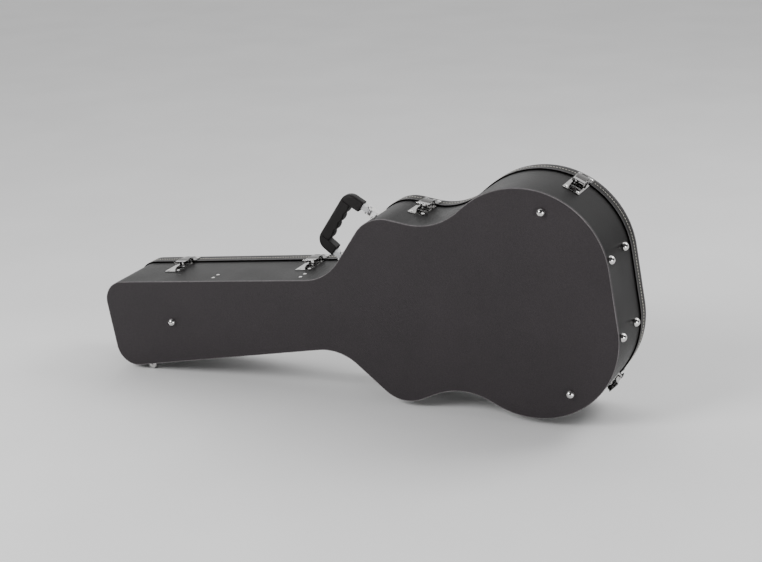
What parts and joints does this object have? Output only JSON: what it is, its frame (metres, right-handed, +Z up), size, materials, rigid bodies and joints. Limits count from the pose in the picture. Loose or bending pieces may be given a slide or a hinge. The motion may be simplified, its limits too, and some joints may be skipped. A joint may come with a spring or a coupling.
{
  "type": "hard-shell guitar case",
  "caption": "Hard-shell case shaped for a flat-top guitar, with a hinged lid, draw latches, a carrying handle, studs for feet and a padded inside with an accessory compartment.",
  "frame": {"origin": "middle of the box's underside, where the case stands on its hinge-side feet", "axes": "+X along the case towards the tail, +Y from the back panel to the lid, +Z up from the hinge side to the handle side"},
  "size_m": [1.103, 0.1746, 0.4553],
  "materials": {
    "back_leatherette": "fine grain, satin",
    "side_leatherette": "fine grain, soft gloss",
    "binding": "smooth, stitched",
    "lined_board": "cloth covered",
    "plush": "short pile",
    "ribbon": "woven",
    "handle_plastic": "leather grained",
    "pin_steel": "turned",
    "chrome": "polished"
  },
  "bodies": {
    "root": {"back_panel": "back_leatherette", "base_wall_latch_side": "side_leatherette", "base_wall_hinge_side": "side_leatherette", "base_head_board": "side_leatherette", "rim_tongue_latch_side": "lined_board", "rim_tongue_hinge_side": "lined_board", "floor_pad": "plush", "bout_pad_latch_side": "plush", "bout_pad_hinge_side": "plush", "neck_cradle": "plush", "partition_tail_end": "lined_board", "partition_head_end": "lined_board", "compartment_ledge": "lined_board", "partition_rivets": "chrome", "back_feet": "chrome", "tail_feet": "chrome", "hinge_side_feet": "chrome", "hinge_base_leaves": "chrome", "hinge_pins": "pin_steel", "latch_base_plate_1": "chrome", "latch_base_plate_2": "chrome", "latch_base_plate_3": "chrome", "latch_base_plate_4": "chrome", "latch_base_plate_5": "chrome", "latch_pivot_pins": "pin_steel", "base_rivets": "chrome", "handle_bracket_bout_end": "chrome", "handle_bracket_neck_end": "chrome", "handle_pins": "pin_steel"},
    "lid": {"lid_panel": "side_leatherette", "lid_wall_latch_side": "side_leatherette", "lid_wall_hinge_side": "side_leatherette", "lid_binding": "binding", "lid_lining": "plush", "hinge_lid_leaves": "chrome", "catch_plates": "chrome", "lid_rivets": "chrome"},
    "handle": {"handle_core": "pin_steel", "handle_grip": "handle_plastic", "handle_leg_bout_end": "handle_plastic", "handle_leg_neck_end": "handle_plastic"},
    "compartment_lid": {"compartment_lid": "lined_board", "compartment_pull_tab": "ribbon"},
    "lever_1": {"latch_lever_1": "chrome", "latch_claw_pin_1": "pin_steel"},
    "claw_1": {"latch_claw_1": "chrome"},
    "lever_2": {"latch_lever_2": "chrome", "latch_claw_pin_2": "pin_steel"},
    "claw_2": {"latch_claw_2": "chrome"},
    "lever_3": {"latch_lever_3": "chrome", "latch_claw_pin_3": "pin_steel"},
    "claw_3": {"latch_claw_3": "chrome"},
    "lever_4": {"latch_lever_4": "chrome", "latch_claw_pin_4": "pin_steel"},
    "claw_4": {"latch_claw_4": "chrome"},
    "lever_5": {"latch_lever_5": "chrome", "latch_claw_pin_5": "pin_steel"},
    "claw_5": {"latch_claw_5": "chrome"}
  },
  "joints": [
    {"name": "lid_hinge", "type": "hinge", "parent": "root", "child": "lid", "pos_m": [0.37853, 0.0544, 0.00784], "axis": [-1, 0, -0.0066], "range_deg": [0, 100]},
    {"name": "handle_swing", "type": "hinge", "parent": "root", "child": "handle", "pos_m": [-0.00179, -0.01175, 0.31793], "axis": [0.5532, 0, 0.8331], "range_deg": [-80, 80]},
    {"name": "compartment_lid_hinge", "type": "hinge", "parent": "root", "child": "compartment_lid", "pos_m": [-0.18667, -0.02575, 0.11815], "axis": [-0.9881, 0, -0.1541], "range_deg": [0, 68]},
    {"name": "latch_lever_1_swing", "type": "hinge", "parent": "root", "child": "lever_1", "pos_m": [-0.4278, 0.04425, 0.20246], "axis": [-0.9939, 0, -0.1103], "range_deg": [0, 88]},
    {"name": "latch_claw_1_swing", "type": "hinge", "parent": "lever_1", "child": "claw_1", "pos_m": [-0.4281, 0.03525, 0.20514], "axis": [-0.9939, 0, -0.1103], "range_deg": [-106.6, 0]},
    {"name": "latch_lever_2_swing", "type": "hinge", "parent": "root", "child": "lever_2", "pos_m": [-0.12238, 0.04425, 0.23636], "axis": [-0.9939, 0, -0.1103], "range_deg": [0, 88]},
    {"name": "latch_claw_2_swing", "type": "hinge", "parent": "lever_2", "child": "claw_2", "pos_m": [-0.12268, 0.03525, 0.23905], "axis": [-0.9939, 0, -0.1103], "range_deg": [-106.6, 0]},
    {"name": "latch_lever_3_swing", "type": "hinge", "parent": "root", "child": "lever_3", "pos_m": [0.12687, 0.04425, 0.37329], "axis": [-0.9896, 0, 0.1439], "range_deg": [0, 88]},
    {"name": "latch_claw_3_swing", "type": "hinge", "parent": "lever_3", "child": "claw_3", "pos_m": [0.12726, 0.03525, 0.37596], "axis": [-0.9896, 0, 0.1439], "range_deg": [-106.6, 0]},
    {"name": "latch_lever_4_swing", "type": "hinge", "parent": "root", "child": "lever_4", "pos_m": [0.43345, 0.04425, 0.4418], "axis": [-0.9033, 0, 0.429], "range_deg": [0, 88]},
    {"name": "latch_claw_4_swing", "type": "hinge", "parent": "lever_4", "child": "claw_4", "pos_m": [0.43461, 0.03525, 0.44424], "axis": [-0.9033, 0, 0.429], "range_deg": [-106.6, 0]},
    {"name": "latch_lever_5_swing", "type": "hinge", "parent": "root", "child": "lever_5", "pos_m": [0.49929, 0.04425, 0.05995], "axis": [0.6984, 0, 0.7157], "range_deg": [0, 88]},
    {"name": "latch_claw_5_swing", "type": "hinge", "parent": "lever_5", "child": "claw_5", "pos_m": [0.50122, 0.03525, 0.05807], "axis": [0.6984, 0, 0.7157], "range_deg": [-106.6, 0]}
  ],
  "couplings": [
    {"joint": "latch_claw_1_swing", "follows": "latch_lever_1_swing", "ratio": -1.2},
    {"joint": "latch_claw_2_swing", "follows": "latch_lever_2_swing", "ratio": -1.2},
    {"joint": "latch_claw_3_swing", "follows": "latch_lever_3_swing", "ratio": -1.2},
    {"joint": "latch_claw_4_swing", "follows": "latch_lever_4_swing", "ratio": -1.2},
    {"joint": "latch_claw_5_swing", "follows": "latch_lever_5_swing", "ratio": -1.2}
  ]
}
